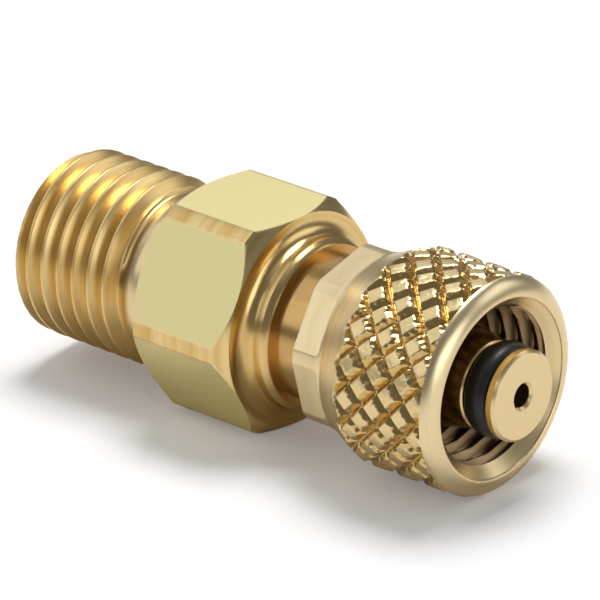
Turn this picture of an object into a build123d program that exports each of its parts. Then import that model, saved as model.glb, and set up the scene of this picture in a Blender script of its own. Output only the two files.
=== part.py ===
from build123d import *
import math
import os

os.makedirs("parts", exist_ok=True)

# Millimetres. x runs along the axis: 0 is the plane of the nut's mouth, negative towards the threaded end.
flats_width = 15.875                  # 5/8 inch hexagon, across its flats
crest_over_flats = 0.1625
knurl_crest = flats_width / 2 + crest_over_flats      # the nut is a little wider than the hexagon
axis_height = knurl_crest             # so the nut rests on the ground plane
rear_end = -40.6
probe_end = 1.86
centre_shift = -(rear_end + probe_end) / 2

thread_radius = flats_width / 2 - 0.9375              # 14 x 1.5 male thread, drawn plain at its major size
thread_front = -30.0
undercut_radius = thread_radius - 0.8
lead_chamfer = 0.5

hex_rear = -27.6
hex_front = -18.5
hex_corner_radius = flats_width / 2 + 0.9325          # the bar's corners are turned to this radius
hex_rear_chamfer = 0.75
hex_front_chamfer = 0.95

neck_radius = knurl_crest - 2.65
collar_radius = neck_radius + 0.95
collar_front = -16.7
collar_fillet = 1.05
bearing_fit = 0.08                    # radial clearance between the neck and the nut's rear bore
recess_rear = -13.5                   # long groove in which the retaining ring slides
recess_front = -9.7
recess_radius = neck_radius - 0.85
land_front = -8.3

shank_radius = 3.2                    # the shank is a slim cone, narrow at the front
shank_front = -1.1
shank_rear = -6.5
shank_rear_radius = shank_radius + 1.2
seal_groove_radius = 1.4
seal_section = 2.0
head_radius = 3.15
head_rear = 1.3
passage_radius = 2.75
passage_front = -14.5
tip_hole_radius = 0.86

nut_rear = -13.6
skirt_radius = knurl_crest - 1.2
skirt_flat_count = 8                  # small wrench flats on the skirt
skirt_flat_distance = skirt_radius - 0.36             # from the axis to each of them
skirt_flats_front = -11.2
skirt_flat_turn = 32.0                # degrees above the front of the object
band_front = -11.0
cone_front = -8.35                    # the cone carries on under the knurl up to its crest radius
rim_rear = -0.85                      # the knurl stops short of a smooth rounded rim
rim_radius = knurl_crest - 0.1
rim_crown_radius = knurl_crest - 0.95                 # where the rim reaches furthest forward
mouth_radius = knurl_crest - 1.5
mouth_edge = -0.3
inner_thread_radius = neck_radius + 0.3
inner_thread_front = -1.15
inner_thread_rear = -6.8
relief_radius = neck_radius + 1.05
relief_rear = -8.0
ring_groove_rear = -10.75
ring_groove_front = -9.65
ring_groove_radius = neck_radius + 0.6

knurl_root = knurl_crest - 0.55
knurl_count = 19                      # diamonds around the nut
knurl_half_pitch = 1.25               # half a diamond's length along the axis
knurl_first_row = -8.75
knurl_rows = 7
knurl_turn = 8.7                      # degrees, where the odd rows have a groove crossing
knurl_flank = 35.0                    # degrees from the diamond's own axis
diamond_base = knurl_root - 0.11      # the diamonds start just under the knurl's root
diamond_gap = 0.013

wire_radius = 0.45                    # retaining ring
ring_radius = neck_radius + 0.05
ring_centre = -10.2
ring_opening = 34.0                   # degrees left open
wire_side_count = 12                  # the thin wire is drawn with this many flats


def turned(points):
    """A solid turned from an outline of (x, radius) points."""
    outline = make_face(Polyline(*[(x, r) for x, r in points], close=True))
    return revolve(outline, Axis.X, 360)


def bar(sides, apothem, start, end, turn=0.0):
    """A regular bar along the axis with one flat facing up, turned by an angle."""
    face = Plane.YZ.offset(start) * Rot(0, 0, turn) * RegularPolygon(apothem, sides, major_radius=False)
    return extrude(face, end - start, dir=(1, 0, 0))


def make_body():
    """The turned piece: male thread, hexagon, collar, neck and probe, with the passage through it."""
    half = flats_width / 2
    blank = make_face([
        Polyline((rear_end, 0), (rear_end, thread_radius - lead_chamfer),
                 (rear_end + lead_chamfer, thread_radius), (thread_front, thread_radius),
                 (thread_front + 0.5, undercut_radius), (hex_rear + 0.3, undercut_radius),
                 (hex_rear + 0.3, collar_radius), (hex_front - 0.3, collar_radius),
                 (hex_front - 0.3, collar_radius + collar_fillet),
                 (hex_front, collar_radius + collar_fillet)),
        RadiusArc((hex_front, collar_radius + collar_fillet), (hex_front + collar_fillet, collar_radius),
                  collar_fillet),
        Polyline((hex_front + collar_fillet, collar_radius), (collar_front - 0.15, collar_radius),
                 (collar_front, collar_radius - 0.15), (collar_front, neck_radius),
                 (recess_rear, neck_radius), (recess_rear, recess_radius), (recess_front, recess_radius),
                 (recess_front, neck_radius), (land_front - 0.3, neck_radius),
                 (land_front, neck_radius - 0.3),
                 (land_front, shank_rear_radius), (shank_rear, shank_rear_radius),
                 (shank_front - 0.15, shank_radius), (shank_front, shank_radius - 0.15),
                 (shank_front, seal_groove_radius), (head_rear, seal_groove_radius),
                 (head_rear, head_radius - 0.1), (head_rear + 0.1, head_radius),
                 (probe_end - 0.2, head_radius), (probe_end, head_radius - 0.2), (probe_end, 0),
                 (rear_end, 0)),
    ])
    body = revolve(blank, Axis.X, 360)
    facing = turned([(hex_rear, 0), (hex_rear, half), (hex_rear + hex_rear_chamfer, hex_corner_radius),
                     (hex_front - hex_front_chamfer, hex_corner_radius), (hex_front, half), (hex_front, 0)])
    body += bar(6, half, hex_rear, hex_front) & facing
    passage = turned([(rear_end - 1, 0), (rear_end - 1, passage_radius + 1.4),
                      (rear_end + 0.4, passage_radius), (passage_front, passage_radius),
                      (passage_front + 1.1, tip_hole_radius),
                      (probe_end - 0.2, tip_hole_radius), (probe_end + 0.2, tip_hole_radius + 0.4),
                      (probe_end + 0.2, 0)])
    return body - passage


def cone_at(radius):
    """Where the cone behind the knurl reaches a radius."""
    return band_front + (radius - skirt_radius) * (cone_front - band_front) / (knurl_crest - skirt_radius)


def make_diamond(row):
    """One blunt pyramid of the knurl, its sides sloping in to a small crest on the nut's own radius."""
    half_turn = math.pi / knurl_count
    long_half = knurl_half_pitch - diamond_gap
    wide_half = diamond_base * math.tan(half_turn) - diamond_gap
    x = knurl_first_row + row * knurl_half_pitch
    plane = Plane(origin=(x, 0, diamond_base), x_dir=(1, 0, 0), z_dir=(0, 0, 1))
    base = make_face(Polyline((long_half, 0), (0, wide_half), (-long_half, 0), (0, -wide_half), close=True))
    diamond = extrude(plane * base, knurl_crest - diamond_base, taper=knurl_flank)
    if 0 < row < knurl_rows - 1:
        return diamond
    # the end rows run out on the cone and stop at the rim
    inside, outside = diamond_base - 1, knurl_crest + 1
    ends = turned([(cone_at(knurl_root) + 0.05, inside),
                   (cone_at(knurl_root) + 0.05, knurl_root + 0.022), (cone_front, knurl_crest),
                   (cone_front, outside), (rim_rear, outside), (rim_rear, inside)])
    return diamond & ends


def make_nut():
    """The knurled swivel nut with its skirt flats, plain-drawn inner thread and ring groove."""
    bore = neck_radius + bearing_fit
    section = make_face([
        Polyline((nut_rear, bore + 0.15), (nut_rear, skirt_radius - 0.25), (nut_rear + 0.25, skirt_radius),
                 (band_front, skirt_radius), (cone_at(knurl_root), knurl_root), (rim_rear, knurl_root),
                 (rim_rear, rim_radius), (rim_rear + 0.1, rim_radius)),
        ThreePointArc((rim_rear + 0.1, rim_radius), (rim_rear * 0.26, rim_radius - 0.25), (0, rim_crown_radius)),
        ThreePointArc((0, rim_crown_radius), (mouth_edge * 0.27, mouth_radius + 0.22),
                      (mouth_edge, mouth_radius)),
        Polyline((mouth_edge, mouth_radius), (inner_thread_front, inner_thread_radius),
                 (inner_thread_rear, inner_thread_radius), (inner_thread_rear - 0.5, relief_radius),
                 (relief_rear, relief_radius), (relief_rear, bore), (ring_groove_front, bore),
                 (ring_groove_front, ring_groove_radius), (ring_groove_rear, ring_groove_radius),
                 (ring_groove_rear, bore), (nut_rear + 0.15, bore), (nut_rear, bore + 0.15)),
    ])
    nut = revolve(section, Axis.X, 360)
    around = turned([(nut_rear - 1, 0), (nut_rear - 1, skirt_radius + 1),
                     (skirt_flats_front, skirt_radius + 1), (skirt_flats_front, 0)])
    nut -= around - bar(skirt_flat_count, skirt_flat_distance, nut_rear - 1, skirt_flats_front,
                        90 - skirt_flat_turn)
    step = 360 / knurl_count
    diamonds = []
    for row in range(knurl_rows):
        diamond = make_diamond(row)
        # rows alternate by half a step; angles grow upwards from the front of the object
        first = knurl_turn + (step / 2 if row % 2 == 0 else 0)
        diamonds += [Rot(90 - first - step * k, 0, 0) * diamond for k in range(knurl_count)]
    return nut.fuse(*diamonds)


def make_ring():
    """A split round-wire ring that sits in the nut's groove and slides in the body's recess."""
    wire = Plane.XY * Pos(ring_centre, ring_radius) * RegularPolygon(wire_radius, wire_side_count)
    ring = revolve(wire, Axis.X, 360 - ring_opening)
    return Rot(ring_opening / 2, 0, 0) * ring


def make_seal():
    """The round-section sealing ring near the probe's tip."""
    section = seal_section / 2
    middle = (shank_front + head_rear) / 2
    wire = make_face(Plane.XY * Pos(middle, seal_groove_radius + section) * Circle(section).edge())
    return revolve(wire, Axis.X, 360)


def place(shape):
    return Pos(centre_shift, 0, axis_height) * shape


export_step(place(make_body()), "parts/adapter_body.step")
export_step(place(make_nut()), "parts/coupling_nut.step")
export_step(place(make_ring()), "parts/retaining_ring.step")
export_step(place(make_seal()), "parts/probe_o_ring.step")
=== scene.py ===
import math

import bpy
import numpy as np
from mathutils import Matrix, Vector


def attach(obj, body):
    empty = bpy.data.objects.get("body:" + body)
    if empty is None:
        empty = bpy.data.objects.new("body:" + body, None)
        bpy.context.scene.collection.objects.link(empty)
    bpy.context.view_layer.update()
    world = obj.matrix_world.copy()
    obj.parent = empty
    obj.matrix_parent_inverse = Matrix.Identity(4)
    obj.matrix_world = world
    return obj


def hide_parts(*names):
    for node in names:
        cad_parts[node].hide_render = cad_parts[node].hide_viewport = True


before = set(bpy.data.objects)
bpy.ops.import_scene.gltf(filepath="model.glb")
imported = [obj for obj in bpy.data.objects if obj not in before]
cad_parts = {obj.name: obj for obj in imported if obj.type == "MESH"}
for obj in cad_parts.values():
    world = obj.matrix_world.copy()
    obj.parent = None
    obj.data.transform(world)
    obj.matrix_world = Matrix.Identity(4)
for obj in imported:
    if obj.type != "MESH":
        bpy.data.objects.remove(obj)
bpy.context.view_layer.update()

# the pieces' sizes are in mm, and every x is measured along the axis from the nut's mouth, forwards positive
millimetre = 0.001
axisHeight = 8.1  # the axis above the floor
mouthPlace = 19.37  # the nut's mouth along the row frame's X


# Turned surface, closed both ways: X = x(s, t), Y = -r(s, t) cos t, Z = r(s, t) sin t, with s along a closed
# outline of (x, r) rows and t around the axis. The outline runs forwards outside and back inside, so that the
# faces look outwards.
def turnedMesh(name, rows, theta):
    x = np.array([np.broadcast_to(row[0], theta.shape) for row in rows])
    r = np.array([np.broadcast_to(row[1], theta.shape) for row in rows])
    points = np.stack([x + mouthPlace, -r * np.cos(theta), r * np.sin(theta) + axisHeight], -1)
    count, around = x.shape
    i = np.arange(count)[:, None]
    j = np.arange(around)[None, :]
    following, beside = (i + 1) % count, (j + 1) % around
    faces = np.stack(np.broadcast_arrays(i * around + j, following * around + j,
                                         following * around + beside, i * around + beside), -1)
    mesh = bpy.data.meshes.new(name)
    mesh.vertices.add(count * around)
    mesh.vertices.foreach_set("co", (points * millimetre).astype(np.float32).ravel())
    mesh.loops.add(faces.size)
    mesh.loops.foreach_set("vertex_index", faces.astype(np.int32).ravel())
    mesh.polygons.add(count * around)
    mesh.polygons.foreach_set("loop_start", np.arange(0, faces.size, 4, dtype=np.int32))
    mesh.update(calc_edges=True)
    mesh.validate()
    mesh.polygons.foreach_set("use_smooth", np.ones(count * around, dtype=bool))
    piece = bpy.data.objects.new(name, mesh)
    bpy.context.scene.collection.objects.link(piece)
    return piece


# one number per vertex, which the materials read, given in the order of the mesh's rows
def addMask(piece, name, rows):
    layer = piece.data.attributes.new(name, "FLOAT", "POINT")
    layer.data.foreach_set("value", np.asarray(rows, dtype=np.float32).ravel())


# rows on a straight line from ring a to ring b: p = a + (b - a) k / n, for k = 0 to n - 1
def span(start, end, count):
    return [(start[0] + (end[0] - start[0]) * k / count, start[1] + (end[1] - start[1]) * k / count)
            for k in range(count)]


# rows through rings of (x, r, number of rows up to the next ring), as far as the ring given as the end
def outline(rings, end):
    rows = []
    for ring, following in zip(rings, rings[1:] + [end]):
        rows += span(ring[:2], following[:2], ring[2])
    return rows


# a regular bar with turned corners: r = min(d / cos(angle from the nearest flat), corner radius);
# the second result is that angle
def polygonReach(theta, sides, distance, turn, corner):
    step = 2 * math.pi / sides
    offset = (theta - math.radians(turn) + step / 2) % step - step / 2
    return np.minimum(distance / np.cos(offset), corner), offset


# angles evenly around, t = 2 pi k / n, the nearest ones moved onto the angles that an edge runs along
def columns(count, exact):
    theta = np.arange(count) * 2 * math.pi / count
    for angle in exact:
        angle = math.radians(angle) % (2 * math.pi)
        theta[int(round(angle / (2 * math.pi) * count)) % count] = angle
    return theta


# the threaded end; crest and root are shares of a pitch, and a crest passes firstCrest at crestAngle degrees
threadValues = {
    "major": 7.02, "depth": 0.88, "pitch": 1.5, "crest": 0.12, "root": 0.10, "firstCrest": -39.07,
    "crestAngle": 6.0, "rear": -40.6, "front": -31.2, "chamfer": 0.5, "runout": 0.45, "runoutSlope": 1.8,
    "undercut": 6.2, "landRear": -30.2, "landRise": 0.15, "land": 6.42, "landRings": (-29.2, -28.3, -27.3),
    "bore": 2.75, "boreChamfer": 0.4, "rowsPerPitch": 60, "columns": 200, "faceRows": 6, "boreRows": 8}


# Trapezoid thread: u is the distance from the nearest crest along the helix in pitches, up to 1/2, and
# r = major - depth * clamp((u - crest/2) / (1/2 - crest/2 - root/2), 0, 1), cut by the lead-in chamfer behind
# and by the runout's cone down to the undercut in front.
def threadRadius(x, theta, v):
    phase = (x - v["firstCrest"]) / v["pitch"] + (theta - math.radians(v["crestAngle"])) / (2 * math.pi)
    u = np.abs(phase - np.round(phase))
    slope = np.clip((u - v["crest"] / 2) / (0.5 - v["crest"] / 2 - v["root"] / 2), 0, 1)
    r = v["major"] - v["depth"] * slope
    lead = v["major"] - v["chamfer"] + (x - v["rear"])
    tail = v["undercut"] + (v["front"] + v["runout"] - x) * v["runoutSlope"]
    return np.minimum(np.minimum(r, lead), np.maximum(tail, v["undercut"]))


# end face, thread, undercut, the plain land up to the hexagon, and back through the bore
def makeThread():
    v = threadValues
    theta = columns(v["columns"], [])
    first, last = v["rear"], v["front"] + v["runout"]
    boreEnd = (first + v["boreChamfer"], v["bore"])
    rows = span((first, v["bore"] + v["boreChamfer"]), (first, v["major"] - v["chamfer"]), v["faceRows"])
    for x in np.linspace(first, last, int(round((last - first) / v["pitch"] * v["rowsPerPitch"]))):
        rows.append((x, threadRadius(x, theta, v)))
    rows.append((v["landRear"], v["undercut"]))
    landStart = len(rows)
    landPlaces = (v["landRear"] + v["landRise"],) + v["landRings"]
    rows += [(x, v["land"]) for x in landPlaces]
    rows += span((landPlaces[-1], v["bore"]), boreEnd, v["boreRows"]) + [boreEnd]
    piece = turnedMesh("threadedEnd", rows, theta)
    size = (len(rows), len(theta))
    for name in ("flatness", "recessShade"):
        addMask(piece, name, np.zeros(size))
    pale = np.zeros(size)
    pale[landStart:landStart + len(landPlaces)] = 1  # the narrow land behind the thread is pale
    addMask(piece, "pale", pale)
    addMask(piece, "satin", np.ones(size))
    return piece


# hexagon, collar, neck and probe; collarEdge is pairs of (back from the front face, in from the radius)
stemValues = {
    "sides": 6, "topFlat": 90, "flat": 7.9375, "corner": 8.87, "flatMargin": 0.002, "rear": -27.6,
    "front": -18.5, "rearChamfer": 0.75, "frontChamfer": 0.95, "face": 5.9, "faceStep": 0.2,
    "collar": 6.4, "collarFront": -16.5,
    "collarEdge": ((0.5, 0), (0.1, 0.22), (0, 0.34)), "hollowLength": 0.95, "hollowDepth": 1.3,
    "hollowRows": 12, "neck": 5.45, "recessRear": -13.5, "recessFront": -9.7, "recess": 4.6, "land": -8.3,
    "landChamfer": 0.3, "shankRear": -6.5, "thickShank": 4.4, "shank": 3.2, "shankFront": -1.1,
    "shankChamfer": 0.12, "groove": 1.4, "headRear": 1.1, "head": 3.35, "headChamfer": 0.1, "tip": 1.86,
    "tipChamfer": 0.2, "tipHole": 0.86, "holeChamfer": 0.2, "bore": 2.74, "boreFront": -14.5,
    "drillPoint": 1.1, "columns": 480, "faceRows": 6, "chamferRows": 5, "flatRows": 10, "close": 0.05}


# Six-sided bar and turned rings in one outline. A chamfer of the bar moves its edge along the axis by
# chamfer * (reach - flat) / (corner - flat), so that it curves down on the flats as a turned cone does.
def makeStem():
    v = stemValues
    edge = math.degrees(math.acos(v["flat"] / v["corner"]))
    theta = columns(v["columns"], [v["topFlat"] + 360 / v["sides"] * k + side * edge
                                   for k in range(v["sides"]) for side in (-1, 1)])
    reach = polygonReach(theta, v["sides"], v["flat"], v["topFlat"], v["corner"])[0]
    outward = (reach - v["flat"]) / (v["corner"] - v["flat"])
    rear = v["rear"] + outward * v["rearChamfer"]
    front = v["front"] - outward * v["frontChamfer"]
    rings = [(v["rear"], v["face"], v["faceRows"]), (v["rear"], v["flat"], v["chamferRows"]),
             (rear, reach, v["flatRows"]), (front, reach, v["chamferRows"]), (v["front"], v["flat"], 3)]
    # the hollow in front of the hexagon is a quarter of an ellipse
    for a in np.radians(np.linspace(180, 270, v["hollowRows"])):
        rings.append((v["front"] + v["hollowLength"] * (1 + math.cos(a)),
                      v["collar"] + v["hollowDepth"] * (1 + math.sin(a)), 1))
    rings[-1] = rings[-1][:2] + (3,)
    for (back, inwards), count in zip(v["collarEdge"], (2, 1, 4)):
        rings.append((v["collarFront"] - back, v["collar"] - inwards, count))
    rings += [(v["collarFront"], v["neck"], 6), (v["recessRear"], v["neck"], 2),
              (v["recessRear"], v["recess"], 2), (v["recessFront"], v["recess"], 2),
              (v["recessFront"], v["neck"], 2), (v["land"] - v["landChamfer"], v["neck"], 1),
              (v["land"], v["neck"] - v["landChamfer"], 4), (v["land"], v["thickShank"], 3),
              (v["shankRear"], v["thickShank"], 14), (v["shankFront"] - v["shankChamfer"], v["shank"], 1),
              (v["shankFront"], v["shank"] - v["shankChamfer"], 4), (v["shankFront"], v["groove"], 3),
              (v["headRear"], v["groove"], 4), (v["headRear"], v["head"] - v["headChamfer"], 1),
              (v["headRear"] + v["headChamfer"], v["head"], 4), (v["tip"] - v["tipChamfer"], v["head"], 2),
              (v["tip"], v["head"] - v["tipChamfer"], 8), (v["tip"], v["tipHole"] + v["holeChamfer"], 2),
              (v["tip"] - v["holeChamfer"], v["tipHole"], 8),
              (v["boreFront"] + v["drillPoint"], v["tipHole"], 3), (v["boreFront"], v["bore"], 6),
              (v["rear"] + v["faceStep"], v["bore"], 3), (v["rear"] + v["faceStep"], v["face"], 1)]
    rows = outline(rings, rings[0])
    piece = turnedMesh("stemFront", rows, theta)
    # 1 on the bar's own flats, 0 on everything turned
    flatness, recessShade, pale = np.zeros((3, len(rows), len(theta)))
    flatStart = v["faceRows"] + v["chamferRows"]
    flatness[flatStart:flatStart + v["flatRows"] + 1] = reach < v["corner"] - v["flatMargin"]
    # the neck and shank, which lie between the collar and the nut and inside the nut, get painted shade, and
    # the probe's face is pale
    recessShadeEnd = v["shankFront"] - v["shankChamfer"] - v["close"]
    for k, (x, r) in enumerate(rows):
        x, r = float(np.mean(x)), float(np.mean(r))
        if r > v["bore"] + v["close"] and v["collarFront"] - v["close"] < x < recessShadeEnd:
            recessShade[k] = 1
        if r > v["tipHole"] + v["close"] and x > v["tip"] - v["tipChamfer"] + v["close"]:
            pale[k] = 1
    for name, mask in (("flatness", flatness), ("recessShade", recessShade), ("pale", pale), ("satin", pale)):
        addMask(piece, name, mask)
    return piece


# the knurled nut; cornerStart and cornerRun are shares of a small flat's half angle, threadCrest and
# threadFlank shares of a pitch
nutValues = {
    "rear": -13.6, "skirt": 6.9, "flats": 8, "flat": 6.54, "flatsTurn": 32.0, "flatsFront": -11.2,
    "rearLength": 0.1, "rearChamfer": 0.12, "boreChamfer": 0.1, "cornerStart": 0.72, "cornerRun": 0.28,
    "cornerDepth": 0.45, "flatStep": 0.04, "band": -11.0, "bandStep": 0.01, "bandLength": 0.05,
    "coneFront": -8.35, "crest": 8.1, "depth": 0.47, "count": 19, "halfPitch": 1.25, "node": -5.0,
    "nodeAngle": 8.7, "frontWall": 0.50, "rearWall": 0.24, "ragged": 0.30,
    "waves": ((5.3, 4.1, 3.7), (-3.9, 6.7, 5.9), (8.9, -7.3, 6.1), (2.3, 9.7, -8.3)),
    "knurlStart": -9.05, "knurlFade": 0.3, "crestShare": 0.98, "rimRear": -0.87, "rim": 8.03, "rimPower": 1.3,
    "crown": 6.78, "mouth": 6.62, "mouthEdge": -0.13, "bore": 5.53, "threadMinor": 5.68, "threadDepth": 0.72,
    "threadCrest": 0.05, "threadFlank": 0.30, "threadTurn": 180.0, "pitch": 1.5, "threadRear": -6.8,
    "threadFront": -1.1, "countersink": 1.15, "relief": 6.5, "reliefRear": -8.0, "reliefRun": 0.4,
    "grooveRear": -10.75, "grooveFront": -9.65, "groove": 6.05, "columnsPerDiamond": 24, "rowsPerHalf": 12,
    "rimRows": 12, "mouthRows": 7, "leadRows": 6, "threadRows": 62}


# Diamond knurl: a, b = (x - x0) / (2 h) plus or minus (t - t0) n / 2 pi, and d = distance in mm from the
# nearest line where a or b is whole. The surface lies depth * (1 - clamp(d / wall, 0, 1)) under the crest.
# The wall is longer on one side of each line, and ragged there.
def knurlDepth(x, theta, v):
    along = (x - v["node"]) / (2 * v["halfPitch"])
    across = (theta - math.radians(v["nodeAngle"])) * v["count"] / (2 * math.pi)
    arcPitch = 2 * math.pi * v["crest"] / v["count"]
    perMillimetre = math.hypot(1 / (2 * v["halfPitch"]), 1 / arcPitch)
    # the pressed crests' edges are ragged: a sum of sines that don't repeat from diamond to diamond
    ragged = sum(np.sin(x * p + v["crest"] * np.sin(theta) * q + v["crest"] * np.cos(theta) * s)
                 for p, q, s in v["waves"]) / len(v["waves"])
    heights = []
    for line in (along + across, along - across):
        aside = (line - np.round(line)) / perMillimetre
        wall = np.where(aside < 0, v["frontWall"] * (1 + v["ragged"] * ragged), v["rearWall"])
        heights.append(np.abs(aside) / wall)
    return v["depth"] * (1 - np.clip(np.minimum(*heights), 0, 1))


# Skirt with small flats, cone, knurl and rim outside; mouth, inner thread, relief and ring groove inside. The
# rim is r = crown + (rim - crown) cos^p a, x = rimRear (1 - sin^p a). The inner thread is
# r = minor + depth * clamp((u - crest) / flank, 0, 1), with u in pitches from the nearest crest, under a
# countersink.
def makeNut():
    v = nutValues
    step = 2 * math.pi / v["count"] / v["columnsPerDiamond"]
    theta = math.radians(v["nodeAngle"]) + np.arange(v["count"] * v["columnsPerDiamond"]) * step
    reach, offset = polygonReach(theta, v["flats"], v["flat"], v["flatsTurn"], v["skirt"])
    # the small flats' front corners are rounded
    side = math.acos(v["flat"] / v["skirt"])
    away = np.clip((np.abs(offset) - side * v["cornerStart"]) / (side * v["cornerRun"]), 0, 1)
    flatEnd = v["flatsFront"] - v["cornerDepth"] * (1 - np.sqrt(np.clip(1 - away ** 2, 0, 1)))
    rearFace = (v["rear"], v["bore"] + v["boreChamfer"])
    rows = outline([rearFace + (3,), (v["rear"], reach - v["rearChamfer"], 1),
                    (v["rear"] + v["rearLength"], reach, 8), (flatEnd, reach, 1),
                    (flatEnd + v["flatStep"], v["skirt"], 2)], (v["band"] + v["bandStep"], v["skirt"]))
    # cone and knurl, in rows that meet the groove crossings
    slope = (v["crest"] - v["skirt"]) / (v["coneFront"] - v["band"])
    fine = v["halfPitch"] / v["rowsPerHalf"]
    first = v["node"] + math.ceil((v["band"] + v["bandLength"] - v["node"]) / fine) * fine
    knurlRows = {}
    for x in np.arange(first, v["rimRear"], fine):
        cone = min(v["skirt"] + (x - v["band"]) * slope, v["crest"])
        fade = min(max((x - v["knurlStart"]) / v["knurlFade"], 0), 1)
        depth = knurlDepth(x, theta, v)
        knurled = cone > v["crest"] - v["depth"] and fade > 0
        if x > v["knurlStart"] + v["knurlFade"]:
            knurlRows[len(rows)] = 1 - depth / v["depth"]
        rows.append((x, np.minimum(cone, v["crest"] - depth * fade) if knurled else cone + 0 * theta))
    # rim: rounded outside, a small quarter of an ellipse inside, then the lead-in cone
    for a in np.radians(np.linspace(0, 90, v["rimRows"])):
        out, forward = abs(math.cos(a)) ** v["rimPower"], abs(math.sin(a)) ** v["rimPower"]
        rows.append((v["rimRear"] * (1 - forward), v["crown"] + (v["rim"] - v["crown"]) * out))
    for a in np.radians(np.linspace(0, 90, v["mouthRows"])[1:]):
        rows.append((v["mouthEdge"] * (1 - math.cos(a)),
                     v["crown"] - (v["crown"] - v["mouth"]) * math.sin(a)))
    rows += span((v["mouthEdge"], v["mouth"]), (v["threadFront"], v["threadMinor"]), v["leadRows"])[1:]
    insideStart = len(rows)
    for x in np.linspace(v["threadFront"], v["threadRear"], v["threadRows"]):
        phase = x / v["pitch"] + (theta - math.radians(v["threadTurn"])) / (2 * math.pi)
        u = np.abs(phase - np.round(phase))
        r = v["threadMinor"] + v["threadDepth"] * np.clip((u - v["threadCrest"]) / v["threadFlank"], 0, 1)
        rows.append((x, np.maximum(r, v["mouth"] + (x - v["mouthEdge"]) * v["countersink"])))
    rows += outline([(v["threadRear"] - v["reliefRun"], v["relief"], 3), (v["reliefRear"], v["relief"], 3),
                     (v["reliefRear"], v["bore"], 3), (v["grooveFront"], v["bore"], 1),
                     (v["grooveFront"], v["groove"], 2), (v["grooveRear"], v["groove"], 1),
                     (v["grooveRear"], v["bore"], 4), (v["rear"] + v["boreChamfer"], v["bore"], 1)], rearFace)
    piece = turnedMesh("knurledNut", rows, theta)
    # the knurl mask is 1 on crests and 0 in grooves, and the flank mask is 1 wherever it is below a crest,
    # where the material paints shade into the grooves with a darker colour
    knurl, flank, inside = np.zeros((3, len(rows), len(theta)))
    for k, height in knurlRows.items():
        knurl[k] = height
        flank[k] = height < v["crestShare"]
    # everything inside the nut, from the inner thread back, is marked for a dark colour that paints shade
    # inside the nut
    inside[insideStart:] = 1
    for name, mask in (("knurl", knurl), ("flank", flank), ("inside", inside)):
        addMask(piece, name, mask)
    return piece


# the sealing ring
sealValues = {"halfWidth": 1.1, "halfHeight": 1.05, "middle": 0.0, "radius": 2.45, "squareness": 0.85,
              "around": 128, "across": 48}


# pressed torus: x = m - w c, r = R + h s, with c and s the cosine and sine raised to the squareness
def makeSeal():
    v = sealValues
    theta = columns(v["around"], [])
    angles = np.arange(v["across"]) * 2 * math.pi / v["across"]
    across, out = [np.sign(t) * np.abs(t) ** v["squareness"] for t in (np.cos(angles), np.sin(angles))]
    rows = [(v["middle"] - v["halfWidth"] * c, v["radius"] + v["halfHeight"] * s)
            for c, s in zip(across, out)]
    return turnedMesh("sealRing", rows, theta)


print("stage: meshes")
thread = makeThread()
stem = makeStem()
nut = makeNut()
seal = makeSeal()
sharpAngles = ((thread, 62), (stem, 24), (nut, 30), (seal, 60))  # edges turn sharp above these, in degrees
for piece, angle in sharpAngles:
    piece.data.set_sharp_from_angle(angle=math.radians(angle))

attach(thread, "stem")
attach(stem, "stem")
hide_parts("adapter_body")
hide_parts("adapter_body")
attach(nut, "nut")
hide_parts("coupling_nut")
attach(seal, "stem")
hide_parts("probe_o_ring")

# turned grain: squeeze is how much less the noise changes along Y than along the axis and the radius
grainValues = {"fineness": 9000.0, "depth": 0.1, "squeeze": 0.012, "detail": 3.0, "roughness": 0.6,
               "bump": 0.00002, "toneScale": 1400.0, "toneDetail": 4.0, "toneLow": 0.3, "toneHigh": 0.7}


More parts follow.
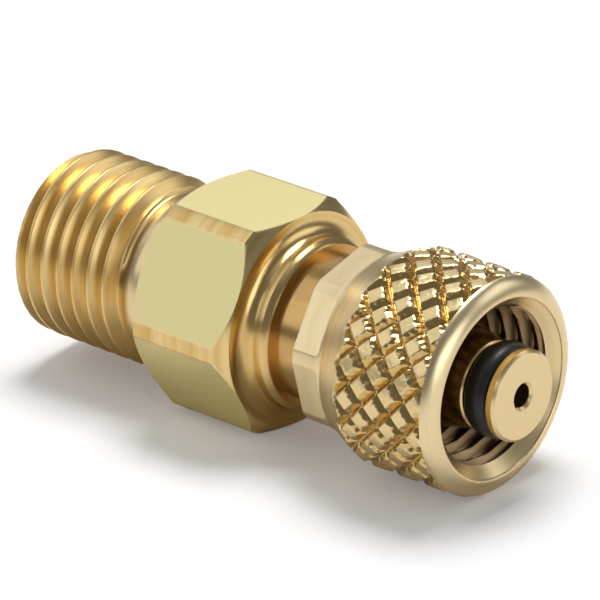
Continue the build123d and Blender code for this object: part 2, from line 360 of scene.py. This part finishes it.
# Noise of (x, radius, squeezed y), which changes along the axis and the radius and hardly around them. It
# gives the normal of fine turned rings and a slow change of tone.
def makeGrainGroup():
    v = grainValues
    group = bpy.data.node_groups.new("turnedGrain", "ShaderNodeTree")
    for label, value in (("Fineness", v["fineness"]), ("Depth", v["depth"])):
        socket = group.interface.new_socket(label, in_out="INPUT", socket_type="NodeSocketFloat")
        socket.default_value = value
    for label, kind in (("Normal", "NodeSocketVector"), ("Tone", "NodeSocketFloat")):
        group.interface.new_socket(label, in_out="OUTPUT", socket_type=kind)
    nodes, links = group.nodes, group.links
    given, made = nodes.new("NodeGroupInput"), nodes.new("NodeGroupOutput")
    place = nodes.new("ShaderNodeTexCoord")
    parts = nodes.new("ShaderNodeSeparateXYZ")
    links.new(place.outputs["Object"], parts.inputs[0])
    # distance from the axis, so that faces across the axis get rings too
    lower = nodes.new("ShaderNodeMath")
    lower.operation = "SUBTRACT"
    lower.inputs[1].default_value = axisHeight * millimetre
    links.new(parts.outputs["Z"], lower.inputs[0])
    across = nodes.new("ShaderNodeCombineXYZ")
    links.new(parts.outputs["Y"], across.inputs[0])
    links.new(lower.outputs[0], across.inputs[1])
    radius = nodes.new("ShaderNodeVectorMath")
    radius.operation = "LENGTH"
    links.new(across.outputs[0], radius.inputs[0])
    squeezed = nodes.new("ShaderNodeMath")
    squeezed.operation = "MULTIPLY"
    squeezed.inputs[1].default_value = v["squeeze"]
    links.new(parts.outputs["Y"], squeezed.inputs[0])
    scaled = nodes.new("ShaderNodeCombineXYZ")
    for target, source in enumerate((parts.outputs["X"], radius.outputs["Value"], squeezed.outputs[0])):
        links.new(source, scaled.inputs[target])
    noise = nodes.new("ShaderNodeTexNoise")
    noise.inputs["Detail"].default_value = v["detail"]
    noise.inputs["Roughness"].default_value = v["roughness"]
    links.new(scaled.outputs[0], noise.inputs["Vector"])
    links.new(given.outputs["Fineness"], noise.inputs["Scale"])
    bump = nodes.new("ShaderNodeBump")
    bump.inputs["Distance"].default_value = v["bump"]
    links.new(given.outputs["Depth"], bump.inputs["Strength"])
    links.new(noise.outputs["Fac"], bump.inputs["Height"])
    slow = nodes.new("ShaderNodeTexNoise")
    slow.inputs["Scale"].default_value = v["toneScale"]
    slow.inputs["Detail"].default_value = v["toneDetail"]
    links.new(scaled.outputs[0], slow.inputs["Vector"])
    links.new(bump.outputs["Normal"], made.inputs["Normal"])
    links.new(slow.outputs["Fac"], made.inputs["Tone"])
    return group


grainGroup = makeGrainGroup()


def newMaterial(name):
    material = bpy.data.materials.new(name)
    material.use_nodes = True
    nodes = material.node_tree.nodes
    return material, nodes, material.node_tree.links, nodes["Principled BSDF"]


# a mix of two fixed colours
def mixColour(nodes, links, factor, first, second):
    mix = nodes.new("ShaderNodeMix")
    mix.data_type = "RGBA"
    mix.inputs["A"].default_value = first
    mix.inputs["B"].default_value = second
    links.new(factor, mix.inputs["Factor"])
    return mix.outputs["Result"]


# Map Range: low and high become start and end
def ramp(nodes, links, source, low, high, start, end):
    node = nodes.new("ShaderNodeMapRange")
    node.inputs["From Min"].default_value = low
    node.inputs["From Max"].default_value = high
    node.inputs["To Min"].default_value = start
    node.inputs["To Max"].default_value = end
    links.new(source, node.inputs["Value"])
    return node.outputs["Result"]


# an own attribute of the mesh, which addMask made
def masked(nodes, name):
    node = nodes.new("ShaderNodeAttribute")
    node.attribute_name = name
    return node.outputs["Fac"]


# a colour laid over another where an attribute says so
def tinted(nodes, links, colour, attribute, over):
    mix = nodes.new("ShaderNodeMix")
    mix.data_type = "RGBA"
    links.new(masked(nodes, attribute), mix.inputs["Factor"])
    links.new(colour, mix.inputs["A"])
    mix.inputs["B"].default_value = over
    return mix.outputs["Result"]


# turned brass: the grain's tone between two colours, and a tint for each attribute of the piece
def grainedColour(nodes, links, grain, low, high, tints):
    v = grainValues
    tone = ramp(nodes, links, grain.outputs["Tone"], v["toneLow"], v["toneHigh"], 0, 1)
    colour = mixColour(nodes, links, tone, low, high)
    for attribute, over in tints:
        colour = tinted(nodes, links, colour, attribute, over)
    return colour


brassValues = {"turnedLow": (0.70, 0.46, 0.16, 1), "turnedHigh": (0.90, 0.70, 0.34, 1),
               "recessShade": (0.64, 0.41, 0.16, 1), "pale": (0.88, 0.70, 0.40, 1), "flat": (0.94, 0.83, 0.42, 1),
               "roughTurned": 0.225, "roughSatin": 0.31, "roughFlat": 0.42, "fineness": 9000.0,
               "grainTurned": 0.42, "grainFlat": 0.05}


# turned brass with fine rings; the bar's own flats are smoother and yellower
def makeBodyBrass():
    material, nodes, links, shader = newMaterial("bodyBrass")
    v = brassValues
    grain = nodes.new("ShaderNodeGroup")
    grain.node_tree = grainGroup
    grain.inputs["Fineness"].default_value = v["fineness"]
    flatness = masked(nodes, "flatness")
    links.new(ramp(nodes, links, flatness, 0, 1, v["grainTurned"], v["grainFlat"]), grain.inputs["Depth"])
    # the neck and shank get a darker colour here, which is painted shade
    tints = (("recessShade", v["recessShade"]), ("pale", v["pale"]), ("flatness", v["flat"]))
    links.new(grainedColour(nodes, links, grain, v["turnedLow"], v["turnedHigh"], tints),
              shader.inputs["Base Color"])
    shader.inputs["Metallic"].default_value = 1.0
    # cut threads and the probe's face are between the turned parts and the bar's flats
    rough = nodes.new("ShaderNodeMath")
    rough.operation = "MAXIMUM"
    links.new(ramp(nodes, links, flatness, 0, 1, v["roughTurned"], v["roughFlat"]), rough.inputs[0])
    links.new(ramp(nodes, links, masked(nodes, "satin"), 0, 1, 0, v["roughSatin"]), rough.inputs[1])
    links.new(rough.outputs[0], shader.inputs["Roughness"])
    links.new(grain.outputs["Normal"], shader.inputs["Normal"])
    return material


# dent is the depth in metres of the mottling on the crests, and dentFrom the height where it starts
nutBrassValues = {"low": (0.86, 0.67, 0.37, 1), "high": (0.95, 0.80, 0.50, 1), "crest": (0.90, 0.71, 0.37, 1),
                  "flank": (0.72, 0.50, 0.20, 1), "inside": (0.34, 0.23, 0.12, 1), "rough": 0.30,
                  "roughFlank": 0.15, "fineness": 12000.0, "grain": 0.30, "dent": 0.00012, "dentFrom": 0.5,
                  "dentStrength": 0.6, "dentScale": 1500.0, "dentDetail": 5.0}


# paler satin brass; the knurl's pressed crests are mottled, and its flanks are shiny and darker, a colour
# that paints shade into the grooves
def makeNutBrass():
    material, nodes, links, shader = newMaterial("nutBrass")
    v = nutBrassValues
    grain = nodes.new("ShaderNodeGroup")
    grain.node_tree = grainGroup
    grain.inputs["Fineness"].default_value = v["fineness"]
    grain.inputs["Depth"].default_value = v["grain"]
    # inside the nut the colour is much darker, which is painted shade
    tints = (("knurl", v["crest"]), ("flank", v["flank"]), ("inside", v["inside"]))
    links.new(grainedColour(nodes, links, grain, v["low"], v["high"], tints), shader.inputs["Base Color"])
    shader.inputs["Metallic"].default_value = 1.0
    links.new(ramp(nodes, links, masked(nodes, "flank"), 0, 1, v["rough"], v["roughFlank"]),
              shader.inputs["Roughness"])
    place = nodes.new("ShaderNodeTexCoord")
    pressed = nodes.new("ShaderNodeTexNoise")
    pressed.inputs["Scale"].default_value = v["dentScale"]
    pressed.inputs["Detail"].default_value = v["dentDetail"]
    links.new(place.outputs["Object"], pressed.inputs["Vector"])
    bump = nodes.new("ShaderNodeBump")
    bump.inputs["Distance"].default_value = v["dent"]
    links.new(ramp(nodes, links, masked(nodes, "knurl"), v["dentFrom"], 1, 0, v["dentStrength"]),
              bump.inputs["Strength"])
    links.new(pressed.outputs["Fac"], bump.inputs["Height"])
    links.new(grain.outputs["Normal"], bump.inputs["Normal"])
    links.new(bump.outputs["Normal"], shader.inputs["Normal"])
    return material


plainValues = {
    "sealRubber": {"Base Color": (0.012, 0.013, 0.016, 1), "Roughness": 0.38, "Specular IOR Level": 0.5},
    "ringSteel": {"Base Color": (0.62, 0.62, 0.63, 1), "Metallic": 1.0, "Roughness": 0.3}}


def makePlain(name):
    material, _, _, shader = newMaterial(name)
    for label, value in plainValues[name].items():
        shader.inputs[label].default_value = value
    return material


def dress(piece, material):
    piece.data.materials.clear()
    piece.data.materials.append(material)


print("stage: materials")
bodyBrass = makeBodyBrass()
dress(thread, bodyBrass)
dress(stem, bodyBrass)
dress(nut, makeNutBrass())
dress(seal, makePlain("sealRubber"))
dress(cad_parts["retaining_ring"], makePlain("ringSteel"))

# floor, in metres; near, far and dark are distances from the object at which the floor's tones change
floorValues = {"half": 3.0, "colour": (0.80, 0.80, 0.81, 1), "glow": 0.17, "farGlow": 1.0, "near": 0.10,
               "far": 0.5, "dark": 0.40, "reflected": (0.78, 0.76, 0.73, 1),
               "reflectedFar": (0.25, 0.23, 0.21, 1)}


# a plain square of side 2 half
def makeFloor():
    v = floorValues
    h = v["half"]
    mesh = bpy.data.meshes.new("floor")
    mesh.from_pydata([(-h, -h, 0), (h, -h, 0), (h, h, 0), (-h, h, 0)], [], [(0, 1, 2, 3)])
    square = bpy.data.objects.new("floor", mesh)
    bpy.context.scene.collection.objects.link(square)
    material, nodes, links, shader = newMaterial("paleFloor")
    nodes.remove(shader)
    diffuse = nodes.new("ShaderNodeBsdfDiffuse")
    diffuse.inputs["Color"].default_value = v["colour"]
    # the glow grows outwards, so that the floor stays white where the lamps don't reach
    glow = nodes.new("ShaderNodeEmission")
    place = nodes.new("ShaderNodeTexCoord")
    reach = nodes.new("ShaderNodeVectorMath")
    reach.operation = "LENGTH"
    links.new(place.outputs["Object"], reach.inputs[0])
    links.new(ramp(nodes, links, reach.outputs["Value"], v["near"], v["far"], v["glow"], v["farGlow"]),
              glow.inputs["Strength"])
    total = nodes.new("ShaderNodeAddShader")
    links.new(diffuse.outputs[0], total.inputs[0])
    links.new(glow.outputs[0], total.inputs[1])
    # reflections in the brass see a darker floor
    dim = nodes.new("ShaderNodeBsdfDiffuse")
    fade = ramp(nodes, links, reach.outputs["Value"], v["near"], v["dark"], 0, 1)
    links.new(mixColour(nodes, links, fade, v["reflected"], v["reflectedFar"]), dim.inputs["Color"])
    choice = nodes.new("ShaderNodeMixShader")
    path = nodes.new("ShaderNodeLightPath")
    links.new(path.outputs["Is Camera Ray"], choice.inputs[0])
    links.new(dim.outputs[0], choice.inputs[1])
    links.new(total.outputs[0], choice.inputs[2])
    links.new(choice.outputs[0], nodes["Material Output"].inputs["Surface"])
    mesh.materials.append(material)
    return square


floor = makeFloor()

studioValues = {"colour": (1, 1, 1, 1), "ambient": 0.17}


# the camera sees a white backdrop, and everything else gets the dim ambient light
def makeStudio():
    v = studioValues
    world = bpy.data.worlds.new("studio")
    world.use_nodes = True
    nodes, links = world.node_tree.nodes, world.node_tree.links
    ambient = nodes["Background"]
    ambient.inputs["Color"].default_value = v["colour"]
    ambient.inputs["Strength"].default_value = v["ambient"]
    backdrop = nodes.new("ShaderNodeBackground")
    backdrop.inputs["Color"].default_value = v["colour"]
    choice = nodes.new("ShaderNodeMixShader")
    path = nodes.new("ShaderNodeLightPath")
    links.new(path.outputs["Is Camera Ray"], choice.inputs[0])
    links.new(ambient.outputs[0], choice.inputs[1])
    links.new(backdrop.outputs[0], choice.inputs[2])
    links.new(choice.outputs[0], nodes["World Output"].inputs["Surface"])
    return world


bpy.context.scene.world = makeStudio()

# name: azimuth and elevation in degrees, distance and size in metres, radiance
lampValues = {
    "keySoftbox": (112, 71, 0.70, (0.36, 0.32), 11.4),
    "backWall": (130, 28, 0.90, (0.70, 0.44), 0.36),
    "leftSoftbox": (-125, 27, 0.90, (0.60, 0.50), 0.85),
    "leftTop": (-160, 52, 0.80, (0.50, 0.40), 0.70),
    "frontTop": (-60, 74, 0.80, (0.50, 0.36), 0.15),
    "mouthSoftbox": (-5, 12.4, 0.80, (0.56, 0.33), 1.9),
    "rearSoftbox": (178, 20, 0.80, (0.50, 0.40), 0.65),
    "rightBack": (48, 26, 0.80, (0.50, 0.34), 1.1),
}
middle = Vector((0, 0, axisHeight * millimetre))  # every lamp looks at it


# direction = (cos el cos az, cos el sin az, sin el); power = radiance times pi times the lamp's area
def makeLamp(name, azimuth, elevation, distance, size, radiance):
    lamp = bpy.data.lights.new(name, "AREA")
    lamp.shape = "RECTANGLE"
    lamp.size, lamp.size_y = size
    lamp.energy = radiance * math.pi * size[0] * size[1]
    az, el = math.radians(azimuth), math.radians(elevation)
    direction = Vector((math.cos(el) * math.cos(az), math.cos(el) * math.sin(az), math.sin(el)))
    place = middle + direction * distance
    holder = bpy.data.objects.new(name, lamp)
    turn = (middle - place).to_track_quat("-Z", "Y").to_matrix().to_4x4()
    holder.matrix_world = Matrix.Translation(place) @ turn
    bpy.context.scene.collection.objects.link(holder)


for name, values in lampValues.items():
    makeLamp(name, *values)

# the fitted camera: back points from the nut's mouth to it, right and up span its picture before the roll,
# which is in degrees; distance is in metres, and focal, mouth and frame are in pixels
cameraValues = {"back": (0.5768, -0.6894, 0.4382), "right": (0.7669, 0.6417, 0),
                "up": (-0.2812, 0.3361, 0.8989), "roll": -0.605, "distance": 0.4499, "focal": 6458.4,
                "mouth": (502.8, 389.3), "frame": 600, "sensor": 36.0, "clip": (0.01, 20.0)}


# The camera stands at mouth + back * distance and looks along the line that brings the mouth's centre to its
# place in the picture: look = -back + right * aside + up * above.
def makeCamera():
    v = cameraValues
    back = Vector(v["back"]).normalized()
    level, upright = Vector(v["right"]), Vector(v["up"])
    roll = math.radians(v["roll"])
    right = level * math.cos(roll) + upright * math.sin(roll)
    up = upright * math.cos(roll) - level * math.sin(roll)
    mouth = Vector((mouthPlace, 0, axisHeight)) * millimetre
    aside = (v["frame"] / 2 - v["mouth"][0]) / v["focal"]
    above = (v["mouth"][1] - v["frame"] / 2) / v["focal"]
    look = (-back + right * aside + up * above).normalized()
    sideways = up.cross(-look).normalized()
    upward = (-look).cross(sideways)
    turn = Matrix((sideways, upward, -look)).transposed().to_4x4()
    data = bpy.data.cameras.new("camera")
    data.sensor_width = v["sensor"]
    data.lens = v["focal"] / v["frame"] * v["sensor"]
    data.clip_start, data.clip_end = v["clip"]
    camera = bpy.data.objects.new("camera", data)
    camera.matrix_world = Matrix.Translation(mouth + back * v["distance"]) @ turn
    bpy.context.scene.collection.objects.link(camera)
    return camera


bpy.context.scene.camera = makeCamera()
bpy.context.scene.view_settings.view_transform = "Standard"
print("stage: camera and light")
